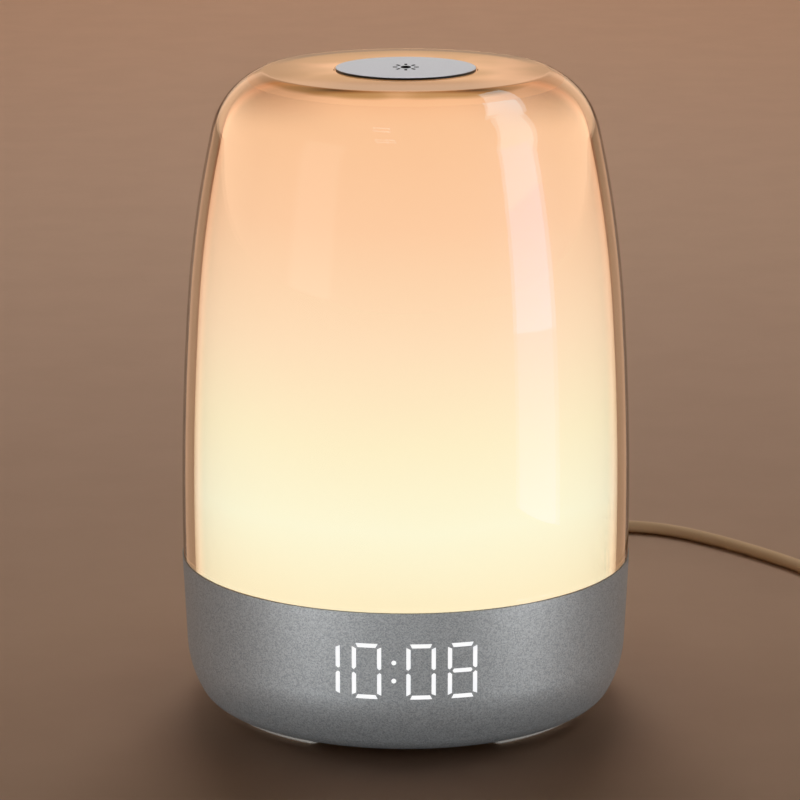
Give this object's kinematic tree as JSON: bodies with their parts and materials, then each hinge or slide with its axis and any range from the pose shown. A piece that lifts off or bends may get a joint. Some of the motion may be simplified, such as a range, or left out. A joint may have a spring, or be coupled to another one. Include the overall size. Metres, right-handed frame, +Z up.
{
  "type": "sunrise alarm clock",
  "caption": "Dome-shaped bedside wake-up lamp: clear shell over a milky diffuser, press plate on top, digital clock in a round base, rear buttons, power lead.",
  "frame": {"origin": "on the dome's axis, in the plane that the rubber feet stand on", "axes": "+Z up along the dome's axis, -Y out of the face with the display, +Y out of the rear with the buttons and the power inlet, +X to the right as seen from the front"},
  "size_m": [0.2472, 0.2021, 0.1567],
  "materials": {
    "silver_painted_abs": "fine metallic silver paint on moulded ABS, satin",
    "dark_grey_abs": "fine moulded texture",
    "rear_button_abs": "satin silver-grey ABS",
    "zinc_plated_steel": "zinc plated",
    "pale_rubber": "matte, slightly translucent",
    "dark_gasket": "matte",
    "clear_acrylic": "clear, polished acrylic",
    "milky_acrylic": "milky acrylic, lit warm from inside",
    "satin_aluminium": "fine satin, anodised",
    "black_print": "printed ink",
    "white_abs": "satin white ABS",
    "green_board": "solder mask",
    "white_board": "white solder mask on aluminium",
    "black_component": "moulded component bodies",
    "warm_led": "phosphor, emissive",
    "amber_led": "phosphor, emissive",
    "display_light": "white light, emissive",
    "wire_insulation": "PVC insulation",
    "nickel_plate": "nickel plated",
    "speaker_steel": "zinc plated",
    "speaker_paper": "pressed paper cone",
    "pale_pvc": "satin PVC jacket",
    "usb_insert": "white moulded insert"
  },
  "bodies": {
    "clock": {"base_housing": "silver_painted_abs", "bottom_cover": "dark_grey_abs", "cover_screws": "zinc_plated_steel", "foot_front_left": "pale_rubber", "foot_front_right": "pale_rubber", "foot_rear": "pale_rubber", "seam_gasket": "dark_gasket", "outer_shell": "clear_acrylic", "inner_diffuser": "milky_acrylic", "button_cup": "white_abs", "top_switch_board": "green_board", "top_switch": "black_component", "wire_tube": "clear_acrylic", "top_switch_lead": "wire_insulation", "light_tray": "white_abs", "tray_screws": "zinc_plated_steel", "led_board": "white_board", "warm_white_leds": "warm_led", "amber_leds": "amber_led", "led_lead": "wire_insulation", "main_board": "green_board", "main_board_parts": "black_component", "board_screws": "zinc_plated_steel", "display_board": "green_board", "display_header": "black_component", "display_leds": "display_light", "display_light_box": "white_abs", "display_film": "milky_acrylic", "lit_segments": "display_light", "lit_colon": "display_light", "button_board": "green_board", "rear_switches": "black_component", "coin_cell": "nickel_plate", "battery_contacts": "nickel_plate", "speaker_gasket": "dark_gasket", "speaker_basket": "speaker_steel", "speaker_magnet": "speaker_steel", "speaker_cone": "speaker_paper", "dc_jack": "black_component", "dc_jack_pin": "nickel_plate", "lead_plug_barrel": "nickel_plate", "lead_plug_body": "pale_pvc", "lead_strain_relief": "pale_pvc", "power_lead": "pale_pvc", "power_lead_tail": "pale_pvc", "power_lead_coil": "pale_pvc", "coil_tie": "pale_pvc", "usb_plug_grip": "pale_pvc", "usb_plug_shell": "nickel_plate", "usb_plug_tongue": "usb_insert"},
    "top_button": {"touch_plate": "satin_aluminium", "sun_symbol": "black_print", "button_carrier": "white_abs"},
    "set_button": {"rear_button_set": "rear_button_abs"},
    "alarm_button": {"rear_button_alarm": "rear_button_abs"},
    "light_button": {"rear_button_light": "rear_button_abs"},
    "minus_button": {"rear_button_minus": "rear_button_abs"},
    "plus_button": {"rear_button_plus": "rear_button_abs"},
    "cell_cap": {"battery_cap": "dark_grey_abs"}
  },
  "joints": [
    {"name": "top_button_press", "type": "slide", "parent": "clock", "child": "top_button", "axis": [0, 0, -1], "range_m": [0, 0.0005], "stiffness_N_per_m": 3000, "springref_m": -0.0002},
    {"name": "set_button_press", "type": "slide", "parent": "clock", "child": "set_button", "axis": [0, -1, 0], "range_m": [0, 0.0005], "stiffness_N_per_m": 2500, "springref_m": -0.0002},
    {"name": "alarm_button_press", "type": "slide", "parent": "clock", "child": "alarm_button", "axis": [0, -1, 0], "range_m": [0, 0.0005], "stiffness_N_per_m": 2500, "springref_m": -0.0002},
    {"name": "light_button_press", "type": "slide", "parent": "clock", "child": "light_button", "axis": [0, -1, 0], "range_m": [0, 0.0005], "stiffness_N_per_m": 2500, "springref_m": -0.0002},
    {"name": "minus_button_press", "type": "slide", "parent": "clock", "child": "minus_button", "axis": [0, -1, 0], "range_m": [0, 0.0005], "stiffness_N_per_m": 2500, "springref_m": -0.0002},
    {"name": "plus_button_press", "type": "slide", "parent": "clock", "child": "plus_button", "axis": [0, -1, 0], "range_m": [0, 0.0005], "stiffness_N_per_m": 2500, "springref_m": -0.0002},
    {"name": "cell_cap_turn", "type": "hinge", "parent": "clock", "child": "cell_cap", "pos_m": [0, 0.019, 0.0032], "axis": [0, 0, -1], "range_deg": [0, 45]}
  ]
}
